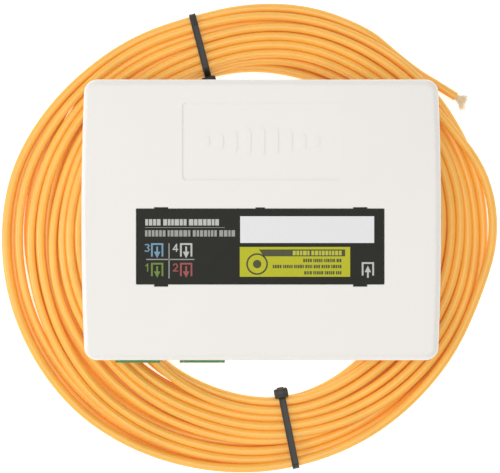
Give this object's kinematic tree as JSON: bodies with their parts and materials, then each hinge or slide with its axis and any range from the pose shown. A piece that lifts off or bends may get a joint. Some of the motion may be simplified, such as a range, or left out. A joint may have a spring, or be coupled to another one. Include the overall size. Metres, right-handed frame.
{
  "type": "fibre optic patch box",
  "caption": "Shallow wall box for optical fibre with a lift-off cover, sprung port shutters and a fitted cable, lying on its own tied coil.",
  "frame": {"origin": "centre of the closed box, port shutters included and the free cable left out", "axes": "+X to the right across the cover, +Y to the box's upper edge, +Z out of the cover; the ports open along -Y"},
  "size_m": [0.2475, 0.2349, 0.048],
  "materials": {
    "shell": "satin moulded ABS, warm off-white",
    "label": "printed charcoal film on polycarbonate, satin",
    "paper_white": "writable white film",
    "label_yellow": "printed yellow-green film",
    "port_green": "glass-filled green plastic",
    "steel": "bright zinc or stainless",
    "ceramic": "polished zirconia",
    "boot": "soft white elastomer",
    "inner_plastic": "moulded ABS",
    "grommet": "black elastomer",
    "cable": "orange halogen-free jacket, satin",
    "yarn": "loose aramid yarn",
    "tie": "black nylon",
    "fibre_1": "green tight buffer",
    "fibre_2": "red tight buffer",
    "fibre_3": "blue tight buffer",
    "fibre_4": "white tight buffer"
  },
  "bodies": {
    "housing": {"rear_housing": "shell", "adapter_clips": "steel", "shutter_pins": "steel", "shutter_springs": "steel", "port_panel": "inner_plastic", "fibre_guide": "inner_plastic", "splice_holder": "inner_plastic", "cable_clamp": "inner_plastic", "clamp_screws": "steel", "cable_grommet": "grommet", "cable_inside": "cable", "cable_lead": "cable", "cable_coil": "cable", "cable_free_end": "cable", "frayed_yarn": "yarn", "cable_tie_upper": "tie", "cable_tie_lower": "tie", "adapter_1": "port_green", "alignment_sleeve_1": "ceramic", "connector_1": "port_green", "ferrule_1": "ceramic", "connector_boot_1": "boot", "fibre_1": "fibre_1", "adapter_2": "port_green", "alignment_sleeve_2": "ceramic", "connector_2": "port_green", "ferrule_2": "ceramic", "connector_boot_2": "boot", "fibre_2": "fibre_2", "adapter_3": "port_green", "alignment_sleeve_3": "ceramic", "connector_3": "port_green", "ferrule_3": "ceramic", "connector_boot_3": "boot", "fibre_3": "fibre_3", "adapter_4": "port_green", "alignment_sleeve_4": "ceramic", "connector_4": "port_green", "ferrule_4": "ceramic", "connector_boot_4": "boot", "fibre_4": "fibre_4"},
    "cover": {"front_cover": "shell"},
    "label": {"label_plate": "label", "writing_strip": "paper_white", "notice_panel": "label_yellow"},
    "shutter_1": {"port_shutter_1": "port_green"},
    "shutter_2": {"port_shutter_2": "port_green"},
    "shutter_3": {"port_shutter_3": "port_green"},
    "shutter_4": {"port_shutter_4": "port_green"}
  },
  "joints": [
    {"name": "cover_lift", "type": "slide", "parent": "housing", "child": "cover", "axis": [0, 0, 1], "range_m": [0, 0.12]},
    {"name": "label_release", "type": "slide", "parent": "cover", "child": "label", "axis": [0, 0, 1], "range_m": [0, 0.03]},
    {"name": "shutter_1_hinge", "type": "hinge", "parent": "housing", "child": "shutter_1", "pos_m": [-0.0598, -0.0675, -0.00525], "axis": [-1, 0, 0], "range_deg": [0, 95], "stiffness_Nm_per_rad": 0.0002, "springref_deg": -28.65},
    {"name": "shutter_2_hinge", "type": "hinge", "parent": "housing", "child": "shutter_2", "pos_m": [-0.0286, -0.0675, -0.00525], "axis": [-1, 0, 0], "range_deg": [0, 95], "stiffness_Nm_per_rad": 0.0002, "springref_deg": -28.65},
    {"name": "shutter_3_hinge", "type": "hinge", "parent": "housing", "child": "shutter_3", "pos_m": [-0.0598, -0.0675, 0.00625], "axis": [-1, 0, 0], "range_deg": [0, 95], "stiffness_Nm_per_rad": 0.0002, "springref_deg": -28.65},
    {"name": "shutter_4_hinge", "type": "hinge", "parent": "housing", "child": "shutter_4", "pos_m": [-0.0286, -0.0675, 0.00625], "axis": [-1, 0, 0], "range_deg": [0, 95], "stiffness_Nm_per_rad": 0.0002, "springref_deg": -28.65}
  ]
}
